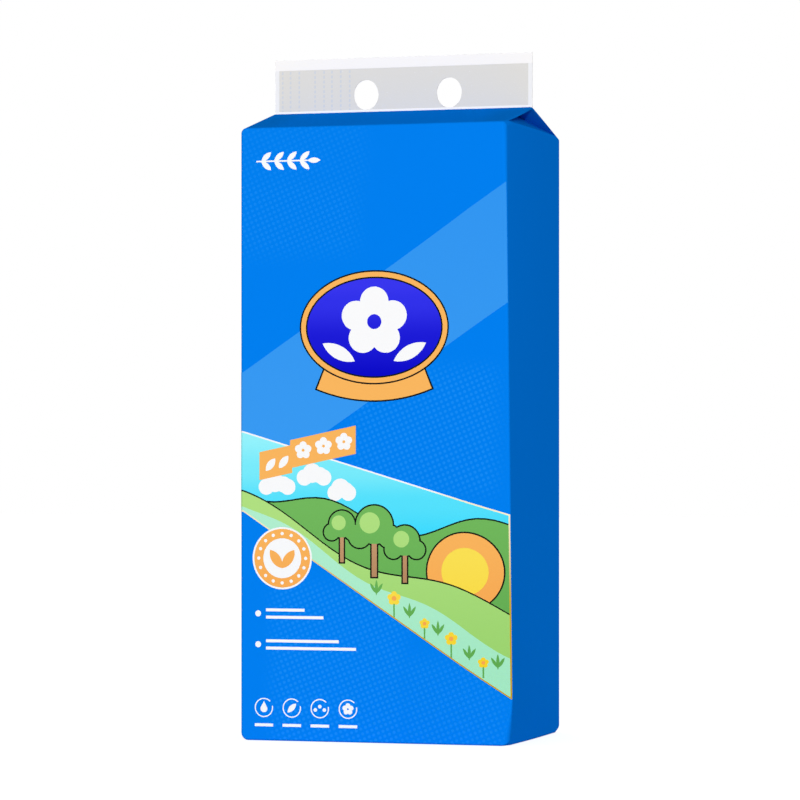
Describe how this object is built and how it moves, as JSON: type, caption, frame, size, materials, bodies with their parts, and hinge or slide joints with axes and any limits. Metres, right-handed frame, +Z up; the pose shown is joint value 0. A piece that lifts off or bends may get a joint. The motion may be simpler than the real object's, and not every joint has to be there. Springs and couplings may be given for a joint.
{
  "type": "hanging tissue pack",
  "caption": "Tall film-wrapped pack of folded tissues with a gabled top and a flat hanging strip that has oval hook holes; drawn from below.",
  "frame": {"origin": "centre of the pack's base, on the surface that it stands on", "axes": "+Z up towards the hanging strip, -Y out of the printed front, +X to the right as the front is seen"},
  "size_m": [0.125, 0.0887, 0.3085],
  "materials": {
    "film": "matt printed polyethylene film, blue",
    "strip": "frosted translucent plastic strip with white welded margins",
    "ink_light_blue": "matt ink, light blue",
    "ink_sky_blue": "matt ink, sky blue",
    "ink_dark_green": "matt ink, leaf green",
    "ink_light_green": "matt ink, light green",
    "ink_mint": "matt ink, mint",
    "ink_brown": "matt ink, brown",
    "ink_gold": "matt ink, gold",
    "ink_yellow": "matt ink, yellow",
    "ink_orange": "matt ink, light orange",
    "ink_deep_blue": "matt ink, deep blue",
    "ink_white": "matt ink, white",
    "ink_black": "matt ink, near black"
  },
  "bodies": {
    "root": {"sealed_pack": "film", "hanging_strip": "strip", "print_light_blue": "ink_light_blue", "print_sky_blue": "ink_sky_blue", "print_dark_green": "ink_dark_green", "print_light_green": "ink_light_green", "print_mint": "ink_mint", "print_brown": "ink_brown", "print_gold": "ink_gold", "print_yellow": "ink_yellow", "print_orange": "ink_orange", "print_deep_blue": "ink_deep_blue", "print_white": "ink_white", "print_black": "ink_black"}
  },
  "joints": []
}
